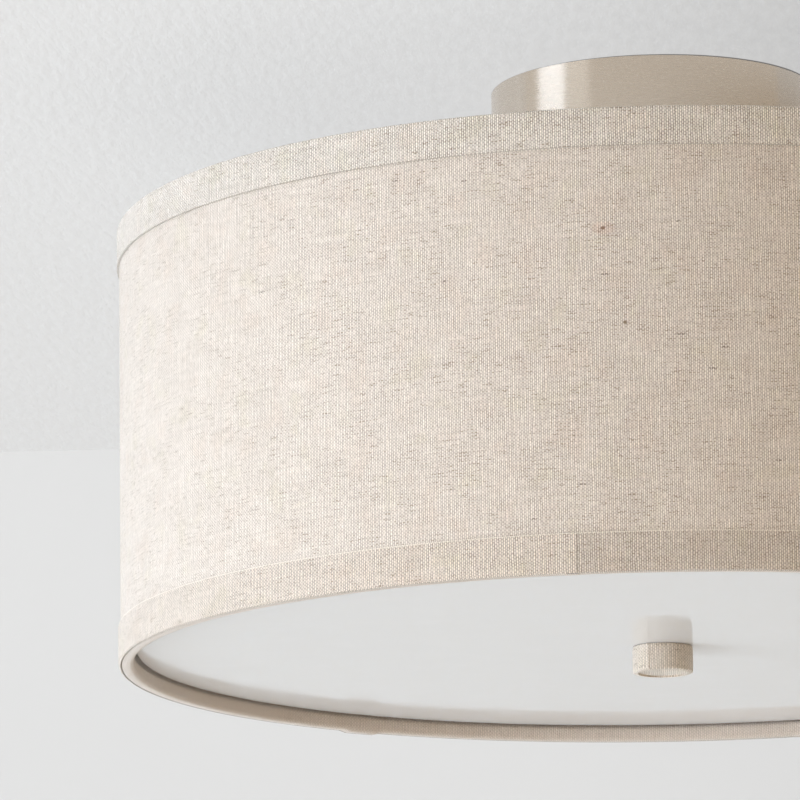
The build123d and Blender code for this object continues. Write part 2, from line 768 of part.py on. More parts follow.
socket_pieces = {
    "socket_body": socket_body,
    "screw_shell": screw_shell,
    "centre_contact": centre_contact,
    "bulb_tip": bulb_tip,
    "bulb_base": bulb_base,
    "bulb_housing": bulb_housing,
    "bulb_globe": bulb_globe,
}
for number, angle in enumerate(socket_angles, start=1):
    for kind, make in socket_pieces.items():
        piece = make(angle)
        piece.part.label = f"{kind}_{number}"
        export_step(piece.part, f"parts/{kind}_{number}.step")

# ---------------------------------------------------------------- rod, diffuser and finial
with BuildPart() as diffuser_rod:
    with BuildSketch(Plane.XY.offset(rod_end)):
        Circle(rod_radius)
    extrude(amount=block_bottom - rod_end)
diffuser_rod.part.label = "diffuser_rod"
export_step(diffuser_rod.part, "parts/diffuser_rod.step")

# Nuts on the rod: one each side of the cluster's cover, and the stop above the diffuser.
rod_nut_seats = (cluster_bottom, cover_bottom - rod_nut_thickness, stop_nut_height)
rod_nuts = hex_nuts(rod_nut_flats, rod_nut_thickness, rod_hole_radius, rod_nut_seats)
rod_nuts.part.label = "rod_nuts"
export_step(rod_nuts.part, "parts/rod_nuts.step")

stop_washer = tube(rod_hole_radius, stop_washer_radius, diffuser_top, stop_nut_height)
stop_washer.part.label = "stop_washer"
export_step(stop_washer.part, "parts/stop_washer.step")

# White acrylic disc under the bulbs.
with BuildPart() as diffuser:
    with BuildSketch(Plane.XZ) as profile:
        block(diffuser_hole / 2, diffuser_bottom, diffuser_radius, diffuser_top)
        fillet(profile.vertices().group_by(Axis.X)[-1], diffuser_edge)
    revolve(axis=Axis.Z)
diffuser.part.label = "diffuser"
export_step(diffuser.part, "parts/diffuser.step")

washer_bottom = diffuser_bottom - finial_washer_thickness
finial_washer = tube(rod_hole_radius, finial_washer_radius, washer_bottom, diffuser_bottom)
finial_washer.part.label = "finial_washer"
export_step(finial_washer.part, "parts/finial_washer.step")

# Finial: a turned core with a recess for the washer, and a threaded brass insert.
with BuildPart() as finial_core:
    with BuildSketch(Plane.XY.offset(core_bottom)):
        Circle(core_radius)
    extrude(amount=finial_top - core_bottom)
    with BuildSketch(Plane.XY.offset(washer_bottom)):
        Circle(finial_washer_radius + finial_recess_clearance)
    extrude(amount=finial_top - washer_bottom, mode=Mode.SUBTRACT)
    with BuildSketch(Plane.XY.offset(washer_bottom)):
        Circle(insert_radius + thread_clearance)
    extrude(amount=-insert_length, mode=Mode.SUBTRACT)
finial_core.part.label = "finial_core"
export_step(finial_core.part, "parts/finial_core.step")

finial_insert = tube(rod_hole_radius, insert_radius, washer_bottom - insert_length, washer_bottom)
finial_insert.part.label = "finial_insert"
export_step(finial_insert.part, "parts/finial_insert.step")

# Linen strip round the core, with its lap, and the linen disc on its end.
with BuildPart() as finial_wrap:
    with BuildSketch(Plane.XY.offset(core_bottom)):
        Circle(finial_diameter / 2)
        Circle(core_radius + layer_gap, mode=Mode.SUBTRACT)
    extrude(amount=finial_top - core_bottom)
    add(
        sector(
            core_radius + layer_gap,
            finial_diameter / 2 + layer_gap,
            wrap_lap_angle,
            wrap_lap_width,
            core_bottom,
            finial_top,
        )
    )
finial_wrap.part.label = "finial_wrap"
export_step(finial_wrap.part, "parts/finial_wrap.step")

with BuildPart() as finial_disc:
    with BuildSketch(Plane.XY.offset(finial_bottom)) as disc:
        Circle(finial_diameter / 2)
    extrude(amount=finial_linen)
    fillet(finial_disc.edges().group_by(Axis.Z)[0], finial_linen / 2)
finial_disc.part.label = "finial_disc"
export_step(finial_disc.part, "parts/finial_disc.step")

# ---------------------------------------------------------------- wires
def in_pipe(angle, height):
    """A point on the wire that stands at an angle inside the lamp pipe."""
    return (wire_circle * cos(radians(angle)), wire_circle * sin(radians(angle)), height)


# Supply wires: up the pipe, over its end and round inside the canopy to their connectors.
hot_route = [
    in_pipe(90, block_top),
    in_pipe(90, -8.9),
    (4.0, 18.0, -8.5),
    (-4.0, 36.0, -10.5),
    (-22.0, 43.0, -12.0),
    (-36.0, 33.0, -12.5),
]
neutral_route = [
    in_pipe(210, block_top),
    in_pipe(210, -8.9),
    (-5.0, -18.0, -8.5),
    (3.0, -36.0, -10.5),
    (22.0, -43.0, -12.0),
    (36.0, -33.0, -12.5),
]
hot_lead = lead(hot_route)
hot_lead.part.label = "hot_lead"
export_step(hot_lead.part, "parts/hot_lead.step")

neutral_lead = lead(neutral_route)
neutral_lead.part.label = "neutral_lead"
export_step(neutral_lead.part, "parts/neutral_lead.step")

# Ground wire: from the ring terminal's tab to the screw in the strap.
ground_route = [
    (-ground_tab_reach + wire_diameter, 0, canopy_nut_height),
    (-ground_tab_reach + wire_diameter, 0, -16.0),
    (-9.0, -11.0, -13.8),
    (4.0, -14.5, -13.5),
    (ground_wire_seat, -13.5, -9.0),
    (ground_wire_seat, -7.5, -strap_thickness - wire_radius - layer_gap),
    (ground_wire_seat, 0, -strap_thickness - wire_radius - layer_gap),
]
ground_lead = lead(ground_route)
ground_lead.part.label = "ground_lead"
export_step(ground_lead.part, "parts/ground_lead.step")

# Screw-on connectors on the free ends of the supply wires.
with BuildPart() as wire_connectors:
    for route in (hot_route, neutral_route):
        forwards = (Vector(route[-1]) - Vector(route[-2])).normalized()
        mouth = Vector(route[-1]) - forwards * connector_depth
        with BuildSketch(Plane(origin=mouth, z_dir=forwards)):
            Circle(connector_mouth_radius)
        with BuildSketch(Plane(origin=mouth + forwards * connector_length, z_dir=forwards)):
            Circle(connector_tip_radius)
        loft()
        with BuildSketch(Plane(origin=mouth, z_dir=forwards)):
            Circle(connector_bore)
        extrude(amount=connector_depth, mode=Mode.SUBTRACT)
wire_connectors.part.label = "wire_connectors"
export_step(wire_connectors.part, "parts/wire_connectors.step")

# Two wires in each arm, from the block to the socket's rear.
with BuildPart() as socket_leads:
    for angle in socket_angles:
        with BuildSketch(cross_plane(angle, block_flats / 2)):
            with Locations((-arm_wire_offset, 0), (arm_wire_offset, 0)):
                Circle(wire_radius)
        extrude(amount=arm_end - block_flats / 2)
socket_leads.part.label = "socket_leads"
export_step(socket_leads.part, "parts/socket_leads.step")
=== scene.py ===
# A semi-flush drum ceiling light: metal canopy, linen shade, white diffuser and linen-covered finial.
# Metres. The ceiling is the plane z = 0, the light hangs below it, and the photo's side is -Y.
from math import cos, degrees, pi, radians, sin
import bpy
from mathutils import Matrix, Vector


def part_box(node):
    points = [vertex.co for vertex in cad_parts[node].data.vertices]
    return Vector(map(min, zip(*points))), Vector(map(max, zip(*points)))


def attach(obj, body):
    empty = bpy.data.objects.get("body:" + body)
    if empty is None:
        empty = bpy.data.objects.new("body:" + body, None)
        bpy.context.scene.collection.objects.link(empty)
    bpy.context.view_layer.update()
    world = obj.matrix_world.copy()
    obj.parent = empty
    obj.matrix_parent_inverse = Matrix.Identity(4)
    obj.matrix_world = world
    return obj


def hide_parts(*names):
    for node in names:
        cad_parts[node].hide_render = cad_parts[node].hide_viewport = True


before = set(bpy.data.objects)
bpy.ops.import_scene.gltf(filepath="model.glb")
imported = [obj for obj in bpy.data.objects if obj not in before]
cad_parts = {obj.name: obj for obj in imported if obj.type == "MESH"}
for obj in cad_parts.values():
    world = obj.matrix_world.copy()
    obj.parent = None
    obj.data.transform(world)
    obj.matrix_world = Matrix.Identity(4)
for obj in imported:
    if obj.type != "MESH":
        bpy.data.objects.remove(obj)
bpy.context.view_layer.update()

bpy.context.scene.view_settings.view_transform = "Standard"


# ------------------------------------------------------------------ ceiling strap and its screws
# A pressed steel strap across the outlet box, with two long screws that draw the canopy up and a green
# ground screw. Bright zinc plate, rolled and tumbled; the ground screw is green passivated.
def add_node(tree, kind, inputs=None, **settings):
    """One shader node. inputs maps a socket to a value or to another node's socket."""
    made = tree.nodes.new("ShaderNode" + kind)
    for name, value in settings.items():
        setattr(made, name, value)
    for key, value in (inputs or {}).items():
        if isinstance(value, bpy.types.NodeSocket):
            tree.links.new(value, made.inputs[key])
        else:
            made.inputs[key].default_value = value
    return made


def math_node(tree, operation, *values):
    """The output of one Math node."""
    return add_node(tree, "Math", dict(enumerate(values)), operation=operation).outputs[0]


def mixed_colour(tree, factor, first, second, blend="MIX"):
    """The colour output of a Mix node."""
    mix = tree.nodes.new("ShaderNodeMix")
    mix.data_type = "RGBA"
    mix.blend_type = blend
    for socket, value in ((mix.inputs[0], factor), (mix.inputs[6], first), (mix.inputs[7], second)):
        if isinstance(value, bpy.types.NodeSocket):
            tree.links.new(value, socket)
        else:
            socket.default_value = value
    return mix.outputs[2]


def spread(tree, value, low, high, new_low=0.0, new_high=1.0):
    """A value's range from low to high, stretched to a new range."""
    sockets = {0: value, 1: low, 2: high, 3: new_low, 4: new_high}
    return add_node(tree, "MapRange", sockets, interpolation_type="SMOOTHSTEP").outputs[0]


def new_group(name, inputs, outputs):
    """A shader node group, its input node and its output node."""
    group = bpy.data.node_groups.new(name, "ShaderNodeTree")
    for direction, sockets in (("INPUT", inputs), ("OUTPUT", outputs)):
        for socket, kind, *default in sockets:
            made = group.interface.new_socket(socket, in_out=direction, socket_type="NodeSocket" + kind)
            if default:
                made.default_value = default[0]
    return group, group.nodes.new("NodeGroupInput"), group.nodes.new("NodeGroupOutput")


def new_finish(name, **constants):
    """A material, its node tree and its Principled shader, with the shader's constants set."""
    finish = bpy.data.materials.new(name)
    finish.use_nodes = True
    shader = finish.node_tree.nodes["Principled BSDF"]
    for socket, value in constants.items():
        shader.inputs[socket.replace("_", " ")].default_value = value
    return finish, finish.node_tree, shader


def place_on_piece(tree, stretch=(1, 1, 1)):
    """Object coordinates, stretched along the piece's own axes."""
    place = add_node(tree, "TexCoord").outputs["Object"]
    return add_node(tree, "Mapping", {"Vector": place, "Scale": stretch}).outputs[0]


def bump(tree, shader, height, distance, strength):
    """A Bump node that feeds the shader's normal."""
    node = add_node(tree, "Bump", {"Height": height, "Distance": distance, "Strength": strength})
    tree.links.new(node.outputs[0], shader.inputs["Normal"])


def dress(finish, *nodes):
    """CAD pieces take this finish."""
    for name in nodes:
        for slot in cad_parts[name].material_slots:
            slot.material = finish


# Worked metal: a rolled or turned grain, soft smudges, and a duller film in the hollows of both.
metal_wear, wear_in, wear_out = new_group(
    "metal wear",
    [("Place", "Vector"), ("Color", "Color"), ("Dull Color", "Color"), ("Grain Scale", "Float", 900.0),
     ("Smudge Scale", "Float", 70.0), ("Roughness", "Float", 0.3)],
    [("Color", "Color"), ("Roughness", "Float"), ("Height", "Float")],
)
place = wear_in.outputs["Place"]
smudge = add_node(metal_wear, "TexNoise", {"Vector": place, "Scale": wear_in.outputs["Smudge Scale"],
                                           "Detail": 4.0, "Roughness": 0.6}).outputs[0]
grain = add_node(metal_wear, "TexNoise", {"Vector": place, "Scale": wear_in.outputs["Grain Scale"],
                                          "Detail": 2.0}).outputs[0]
film = spread(metal_wear, smudge, 0.42, 0.66)
shade = math_node(metal_wear, "MULTIPLY_ADD", grain, 0.5, film)
colour = mixed_colour(metal_wear, math_node(metal_wear, "MULTIPLY", shade, 0.6),
                      wear_in.outputs["Color"], wear_in.outputs["Dull Color"])
rough = math_node(metal_wear, "MULTIPLY_ADD", shade, 0.10, wear_in.outputs["Roughness"])
metal_wear.links.new(colour, wear_out.inputs["Color"])
metal_wear.links.new(rough, wear_out.inputs["Roughness"])
metal_wear.links.new(grain, wear_out.inputs["Height"])


def metal_finish(name, colour, dull, roughness, grain=900.0, smudge=70.0, stretch=(1, 1, 1),
                 grain_depth=0.00002, **constants):
    """A metal with the wear group on it."""
    finish, tree, shader = new_finish(name, Metallic=1.0, **constants)
    wear = add_node(tree, "Group", node_tree=metal_wear)
    sockets = {"Color": (*colour, 1), "Dull Color": (*dull, 1), "Grain Scale": grain,
               "Smudge Scale": smudge, "Roughness": roughness}
    for socket, value in sockets.items():
        wear.inputs[socket].default_value = value
    tree.links.new(place_on_piece(tree, stretch), wear.inputs["Place"])
    tree.links.new(wear.outputs["Color"], shader.inputs["Base Color"])
    tree.links.new(wear.outputs["Roughness"], shader.inputs["Roughness"])
    bump(tree, shader, wear.outputs["Height"], grain_depth, 0.5)
    return finish, tree, shader, wear


zinc_colour, zinc_film = (0.66, 0.66, 0.64), (0.46, 0.47, 0.46)
zinc_plate = metal_finish("zinc plate", zinc_colour, zinc_film, 0.30, stretch=(1, 6, 6))[0]
dress(zinc_plate, "crossbar", "canopy_washer", "pipe_nuts", "socket_arms", "arm_nuts", "rod_nuts",
      "cover_screws")

green_screw = metal_finish("green passivated", (0.06, 0.30, 0.12), (0.03, 0.14, 0.06), 0.38)[0]
dress(green_screw, "ground_screw")

# A rolled screw thread: ridges that climb one pitch a turn about an upright axis. Reach is how far the axis
# stands to either side of the lamp's own.
screw_thread, thread_in, thread_out = new_group(
    "screw thread",
    [("Place", "Vector"), ("Reach", "Float", 0.0), ("Pitch", "Float", 0.001)],
    [("Height", "Float"), ("Valley", "Float")],
)
parts = add_node(screw_thread, "SeparateXYZ", {0: thread_in.outputs["Place"]})
across = math_node(screw_thread, "SUBTRACT", math_node(screw_thread, "ABSOLUTE", parts.outputs[0]),
                   thread_in.outputs["Reach"])
turn = math_node(screw_thread, "ARCTAN2", parts.outputs[1], across)
turn = math_node(screw_thread, "DIVIDE", turn, 2 * pi)
climb = math_node(screw_thread, "ADD", math_node(screw_thread, "DIVIDE", parts.outputs[2],
                                                 thread_in.outputs["Pitch"]), turn)
ridge = math_node(screw_thread, "PINGPONG", climb, 0.5)
screw_thread.links.new(math_node(screw_thread, "MULTIPLY", ridge, 2.0), thread_out.inputs["Height"])
screw_thread.links.new(spread(screw_thread, ridge, 0.20, 0.02), thread_out.inputs["Valley"])


def threaded_finish(name, pitch, reach):
    """Zinc plate with a thread rolled into it, greyer in the valleys."""
    finish, tree, shader, wear = metal_finish(name, zinc_colour, zinc_film, 0.32)
    thread = add_node(tree, "Group", node_tree=screw_thread)
    thread.inputs["Pitch"].default_value = pitch
    thread.inputs["Reach"].default_value = reach
    tree.links.new(place_on_piece(tree), thread.inputs["Place"])
    dark = mixed_colour(tree, thread.outputs["Valley"], wear.outputs["Color"], (0.20, 0.20, 0.19, 1))
    tree.links.new(dark, shader.inputs["Base Color"])
    bump(tree, shader, thread.outputs["Height"], 0.0004, 0.9)
    return finish


inch = 0.0254
canopy_screw_head = 0.008
screw_low, screw_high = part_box("canopy_screws")
canopy_screw_reach = (screw_high.x - screw_low.x - canopy_screw_head) / 2
dress(threaded_finish("canopy screw thread", inch / 32, canopy_screw_reach), "canopy_screws")

# ------------------------------------------------------------------ lamp pipe and rod
# The 1/8 IP lamp pipe that carries everything, and the thinner rod that holds the diffuser. Steel,
# threaded all along and zinc plated.
dress(threaded_finish("lamp pipe thread", inch / 27, 0.0), "lamp_pipe")
dress(threaded_finish("diffuser rod thread", inch / 27, 0.0), "diffuser_rod")

# ------------------------------------------------------------------ canopy, cap nuts and neck
# A spun steel pan against the ceiling, its domed nuts and the neck under it: nickel plate, brushed
# round the axis while the pan turns, so that lights draw out into upright bands.
nickel, nickel_dull = (0.78, 0.70, 0.61), (0.76, 0.68, 0.59)
nickel_plate, tree, shader = metal_finish(
    "brushed nickel", nickel, nickel_dull, 0.22, grain=260.0, smudge=0.01,
    stretch=(1, 1, 30), grain_depth=0.000004, Anisotropic=1.0, Anisotropic_Rotation=0.25)[:3]
tangent = add_node(tree, "Tangent", direction_type="RADIAL", axis="Z")
tree.links.new(tangent.outputs[0], shader.inputs["Tangent"])
dress(nickel_plate, "canopy", "cap_nuts", "neck_tube")

# ------------------------------------------------------------------ brass and wires
# Brass: the ring terminal, the screw shells and centre contacts of the sockets, and the finial's
# threaded insert. Plain, turned or pressed, a little tarnished.
brass_metal = metal_finish("brass", (0.80, 0.60, 0.27), (0.50, 0.34, 0.14), 0.26, stretch=(3, 3, 12))[0]
dress(brass_metal, "ground_terminal", "finial_insert")
for n in (1, 2, 3):
    dress(brass_metal, f"screw_shell_{n}", f"centre_contact_{n}")

# Moulded skin: a faint orange peel and mottling, for plastics, paint and glaze.
moulded_skin, skin_in, skin_out = new_group(
    "moulded skin",
    [("Place", "Vector"), ("Color", "Color"), ("Mottle Color", "Color"), ("Peel Scale", "Float", 700.0),
     ("Roughness", "Float", 0.4)],
    [("Color", "Color"), ("Roughness", "Float"), ("Height", "Float")],
)
place = skin_in.outputs["Place"]
mottle = add_node(moulded_skin, "TexNoise", {"Vector": place, "Scale": 55.0, "Detail": 5.0}).outputs[0]
peel = add_node(moulded_skin, "TexNoise", {"Vector": place, "Scale": skin_in.outputs["Peel Scale"],
                                           "Detail": 2.0}).outputs[0]
cloud = spread(moulded_skin, mottle, 0.35, 0.75)
moulded_skin.links.new(mixed_colour(moulded_skin, cloud, skin_in.outputs["Color"],
                                    skin_in.outputs["Mottle Color"]), skin_out.inputs["Color"])
moulded_skin.links.new(math_node(moulded_skin, "MULTIPLY_ADD", cloud, 0.08, skin_in.outputs["Roughness"]),
                       skin_out.inputs["Roughness"])
moulded_skin.links.new(peel, skin_out.inputs["Height"])


def moulded_finish(name, colour, mottle, roughness, peel=700.0, peel_depth=0.00003, **constants):
    """A plastic, paint or glaze with the moulded skin on it."""
    finish, tree, shader = new_finish(name, **constants)
    skin = add_node(tree, "Group", node_tree=moulded_skin)
    sockets = {"Color": (*colour, 1), "Mottle Color": (*mottle, 1), "Peel Scale": peel,
               "Roughness": roughness}
    for socket, value in sockets.items():
        skin.inputs[socket].default_value = value
    tree.links.new(place_on_piece(tree), skin.inputs["Place"])
    tree.links.new(skin.outputs["Color"], shader.inputs["Base Color"])
    tree.links.new(skin.outputs["Roughness"], shader.inputs["Roughness"])
    bump(tree, shader, skin.outputs["Height"], peel_depth, 0.4)
    return finish


# Supply wires: thermoplastic insulation in black, white and green, with orange twist-on connectors.
dress(moulded_finish("black insulation", (0.022, 0.022, 0.024), (0.04, 0.04, 0.04), 0.42), "hot_lead")
dress(moulded_finish("white insulation", (0.80, 0.80, 0.77), (0.70, 0.69, 0.65), 0.45),
      "neutral_lead", "socket_leads")
dress(moulded_finish("green insulation", (0.03, 0.26, 0.08), (0.05, 0.34, 0.12), 0.42), "ground_lead")
dress(moulded_finish("connector plastic", (0.82, 0.27, 0.04), (0.70, 0.21, 0.03), 0.38), "wire_connectors")

# ------------------------------------------------------------------ shade frame and cluster
# Welded wire spider and ring, and the drawn cup that carries the sockets. White powder coat, with its
# orange peel.
powder_coat = moulded_finish("white powder coat", (0.80, 0.80, 0.78), (0.75, 0.75, 0.73), 0.40,
                             peel=1400.0, peel_depth=0.00006)
dress(powder_coat, "shade_spider", "shade_bottom_ring", "cluster_cup", "cluster_cover")

# ------------------------------------------------------------------ sockets, terminal block and bulbs
# Phenolic lampholders on a porcelain terminal block, and plain LED bulbs: rolled base with a soldered
# tip, matt housing and opal globe. The bulbs are off.
phenolic = moulded_finish("phenolic", (0.030, 0.028, 0.026), (0.050, 0.045, 0.040), 0.34)
dress(moulded_finish("glazed porcelain", (0.84, 0.82, 0.77), (0.78, 0.76, 0.70), 0.12, Coat_Weight=0.6,
                     Coat_Roughness=0.05), "terminal_block")
bulb_base = metal_finish("bulb base", (0.72, 0.72, 0.71), (0.55, 0.55, 0.54), 0.24)[0]
solder = metal_finish("solder", (0.55, 0.55, 0.56), (0.34, 0.34, 0.35), 0.42, smudge=260.0)[0]
housing = moulded_finish("bulb housing", (0.82, 0.82, 0.81), (0.78, 0.78, 0.76), 0.48, peel=1800.0)
opal = moulded_finish("opal globe", (0.86, 0.86, 0.84), (0.83, 0.83, 0.81), 0.26, Subsurface_Weight=0.35,
                      Subsurface_Radius=(0.004, 0.004, 0.004), Subsurface_Scale=1.0)
for n in (1, 2, 3):
    dress(phenolic, f"socket_body_{n}")
    dress(bulb_base, f"bulb_base_{n}")
    dress(solder, f"bulb_tip_{n}")
    dress(housing, f"bulb_housing_{n}")
    dress(opal, f"bulb_globe_{n}")

# ------------------------------------------------------------------ shade liner
# A white styrene sheet, laminated behind the linen, that keeps the drum round. Satin.
styrene = moulded_finish("styrene liner", (0.84, 0.84, 0.82), (0.81, 0.81, 0.79), 0.42, peel=350.0)
dress(styrene, "shade_liner")

# ------------------------------------------------------------------ linen skin of the shade
# One length of undyed slubbed linen, cut flat, wrapped round the liner and lapped on the far side.
# The cloth's own map counts metres along and across the cut.
linen_weave, weave_in, weave_out = new_group(
    "linen weave",
    [("Cloth Map", "Vector"), ("Thread Color", "Color"), ("Gap Color", "Color"), ("Slub Color", "Color"),
     ("Warp Pitch", "Float", 0.0008), ("Weft Pitch", "Float", 0.00066), ("Openness", "Float", 0.5)],
    [("Color", "Color"), ("Height", "Float"), ("Roughness", "Float")],
)


def stretched_noise(tree, place, along, across, detail=1.0):
    """Noise on a cloth map with cells of the given size along and across the cloth."""
    cells = add_node(tree, "Mapping", {"Vector": place, "Scale": (1 / along, 1 / across, 1)}).outputs[0]
    return add_node(tree, "TexNoise", {"Vector": cells, "Scale": 1.0, "Detail": detail}).outputs[0]


# The threads wander a little. A warp goes over one weft and under the next, its neighbour the other way
# round, so the face is a brickwork of short grains with painted shade in the hollow round each.
cloth = weave_in.outputs["Cloth Map"]
cloth_parts = add_node(linen_weave, "SeparateXYZ", {0: cloth})
warp_wander = stretched_noise(linen_weave, cloth, 0.004, 0.012, 2.0)
weft_wander = stretched_noise(linen_weave, cloth, 0.010, 0.003, 2.0)
warp_count = math_node(linen_weave, "DIVIDE", cloth_parts.outputs[0], weave_in.outputs["Warp Pitch"])
warp_count = math_node(linen_weave, "MULTIPLY_ADD", warp_wander, 1.2, warp_count)
weft_count = math_node(linen_weave, "DIVIDE", cloth_parts.outputs[1], weave_in.outputs["Weft Pitch"])
weft_count = math_node(linen_weave, "MULTIPLY_ADD", weft_wander, 2.1, weft_count)
every_other = math_node(linen_weave, "MODULO", math_node(linen_weave, "FLOOR", warp_count), 2.0)
over_phase = math_node(linen_weave, "ADD", weft_count, every_other)
rib = spread(linen_weave, math_node(linen_weave, "PINGPONG", warp_count, 0.5), 0.02, 0.34)
over = spread(linen_weave, math_node(linen_weave, "PINGPONG",
                                     math_node(linen_weave, "MULTIPLY", over_phase, 0.5), 0.5), 0.03, 0.34)
grain = math_node(linen_weave, "MULTIPLY", rib, math_node(linen_weave, "MULTIPLY_ADD", over, 0.62, 0.38))
uneven = stretched_noise(linen_weave, cloth, 0.0010, 0.0022)
# Painted shade in the hollows between the threads; the gap colour is the colour of that shade.
hollow_shade = math_node(linen_weave, "SUBTRACT", 1.0, grain)
hollow_shade = math_node(linen_weave, "MULTIPLY", hollow_shade, spread(linen_weave, uneven, 0.25, 0.70, 0.68, 1.18))
openness = stretched_noise(linen_weave, cloth, 0.016, 0.009, 2.0)
openness = math_node(linen_weave, "MULTIPLY", weave_in.outputs["Openness"],
                     spread(linen_weave, openness, 0.30, 0.70, 0.93, 1.08))
hollow_shade_seen = math_node(linen_weave, "MULTIPLY", hollow_shade, openness)

# Each thread has its own tone, thick stretches stand out light, and the undyed flax is blotched.
warp_tint = stretched_noise(linen_weave, cloth, 0.0010, 0.022)
weft_tint = stretched_noise(linen_weave, cloth, 0.018, 0.0009)
thick_warp = spread(linen_weave, stretched_noise(linen_weave, cloth, 0.0009, 0.008), 0.60, 0.74)
blotch = add_node(linen_weave, "TexNoise", {"Vector": cloth, "Scale": 75.0, "Detail": 3.0})
tone = math_node(linen_weave, "ADD", warp_tint, weft_tint)
tone = math_node(linen_weave, "MULTIPLY_ADD", tone, 0.24, 0.70)
tone = math_node(linen_weave, "MULTIPLY_ADD", thick_warp, 0.08, tone)
tone = math_node(linen_weave, "MULTIPLY_ADD", every_other, 0.12, tone)
toned = add_node(linen_weave, "VectorMath", {0: weave_in.outputs["Thread Color"], "Scale": tone},
                 operation="SCALE").outputs[0]
blotched = mixed_colour(linen_weave, spread(linen_weave, blotch.outputs[0], 0.50, 0.68, 0.0, 0.28),
                        toned, (0.95, 0.86, 0.80, 1), "MULTIPLY")
blotched = mixed_colour(linen_weave, spread(linen_weave, blotch.outputs[0], 0.46, 0.30, 0.0, 0.35),
                        blotched, (0.92, 0.93, 0.80, 1), "MULTIPLY")

# Slubs: brown flax in single wefts, seen only between the warps, and here and there a knot.
slub_line = stretched_noise(linen_weave, cloth, 0.005, 0.0006)
slub_place = add_node(linen_weave, "TexNoise", {"Vector": cloth, "Scale": 60.0, "Detail": 2.0}).outputs[0]
slub = math_node(linen_weave, "MULTIPLY", spread(linen_weave, slub_line, 0.57, 0.70),
                 spread(linen_weave, slub_place, 0.36, 0.56))
slub = math_node(linen_weave, "MULTIPLY", slub, math_node(linen_weave, "MULTIPLY_ADD", hollow_shade, 0.75, 0.25))
knot_cells = add_node(linen_weave, "TexVoronoi", {"Vector": cloth, "Scale": 45.0})
knot_chosen = add_node(linen_weave, "SeparateColor", {0: knot_cells.outputs["Color"]}).outputs[0]
knot = math_node(linen_weave, "MULTIPLY", spread(linen_weave, knot_cells.outputs["Distance"], 0.040, 0.016),
                 spread(linen_weave, knot_chosen, 0.76, 0.84))
fleck = math_node(linen_weave, "MAXIMUM", math_node(linen_weave, "MULTIPLY", slub, 0.9), knot)
woven = mixed_colour(linen_weave, hollow_shade_seen, blotched, weave_in.outputs["Gap Color"])
flecked = mixed_colour(linen_weave, fleck, woven, weave_in.outputs["Slub Color"])
linen_weave.links.new(flecked, weave_out.inputs["Color"])
height = math_node(linen_weave, "MULTIPLY_ADD", fleck, 0.5, grain)
rough = math_node(linen_weave, "MULTIPLY_ADD", hollow_shade, 0.1, 0.80)
linen_weave.links.new(height, weave_out.inputs["Height"])
linen_weave.links.new(rough, weave_out.inputs["Roughness"])


def linen_finish(name, thread, gap_shade_colour, openness, relief, warp_pitch=0.00073):
    """Linen in one tone, mapped along its own cut: the material, its tree, its shader and its weave."""
    finish, tree, shader = new_finish(name, Sheen_Weight=0.6, Sheen_Roughness=0.5,
                                      Specular_IOR_Level=0.15)
    weave = add_node(tree, "Group", node_tree=linen_weave)
    sockets = {"Thread Color": (*thread, 1), "Gap Color": (*gap_shade_colour, 1),
               "Slub Color": (0.22, 0.16, 0.11, 1), "Openness": openness,
               "Warp Pitch": warp_pitch, "Weft Pitch": 0.00059}
    for socket, value in sockets.items():
        weave.inputs[socket].default_value = value
    cloth_map = add_node(tree, "UVMap", uv_map="cloth_map")
    tree.links.new(cloth_map.outputs[0], weave.inputs["Cloth Map"])
    tree.links.new(weave.outputs["Color"], shader.inputs["Base Color"])
    tree.links.new(weave.outputs["Roughness"], shader.inputs["Roughness"])
    bump(tree, shader, weave.outputs["Height"], relief, 0.8)
    return finish, tree, shader, weave


def select_only(piece):
    """The one selected and active object."""
    bpy.ops.object.select_all(action="DESELECT")
    piece.select_set(True)
    bpy.context.view_layer.objects.active = piece


def even_steps(first, last, count):
    """Evenly spaced values, both ends included."""
    return [first + (last - first) * step / count for step in range(count + 1)]


def flat_cloth(name, along, across):
    """A flat cut of cloth in the XZ plane, with a row of points at each given place along and across it
    and a map in metres."""
    bpy.ops.object.select_all(action="DESELECT")
    bpy.ops.mesh.primitive_grid_add(x_subdivisions=len(along) - 1, y_subdivisions=len(across) - 1, size=1,
                                    rotation=(pi / 2, 0, 0))
    bpy.ops.object.transform_apply(location=True, rotation=True, scale=True)
    cut = bpy.context.object
    cut.name = name
    for corner in cut.data.vertices:
        corner.co.x = along[round((corner.co.x + 0.5) * (len(along) - 1))]
        corner.co.z = across[round((corner.co.z + 0.5) * (len(across) - 1))]
    cloth_map = cut.data.uv_layers[0]
    cloth_map.name = "cloth_map"
    for loop in cut.data.loops:
        corner = cut.data.vertices[loop.vertex_index].co
        cloth_map.data[loop.index].uv = (corner.x, corner.z)
    return cut


def wrap_cloth(cut, radius, join_angle, thickness, grow=1.0):
    """The cut bent round the lamp's axis at the given radius, its ends meeting at join_angle. It grows
    thick outwards (grow 1) or inwards (grow -1)."""
    select_only(cut)
    length = max(v.co.x for v in cut.data.vertices) - min(v.co.x for v in cut.data.vertices)
    bend = cut.modifiers.new("wrap", "SIMPLE_DEFORM")
    bend.deform_method = "BEND"
    bend.deform_axis = "Z"
    bend.angle = length / radius
    bpy.ops.object.modifier_apply(modifier=bend.name)
    cut.data.transform(Matrix.Rotation(radians(join_angle - 90), 4, "Z")
                       @ Matrix.Translation((0, -radius, 0)))
    body = cut.modifiers.new("thickness", "SOLIDIFY")
    body.thickness = thickness
    body.offset = grow
    bpy.ops.object.modifier_apply(modifier=body.name)
    bpy.ops.object.shade_smooth_by_angle(angle=sharp_fold)


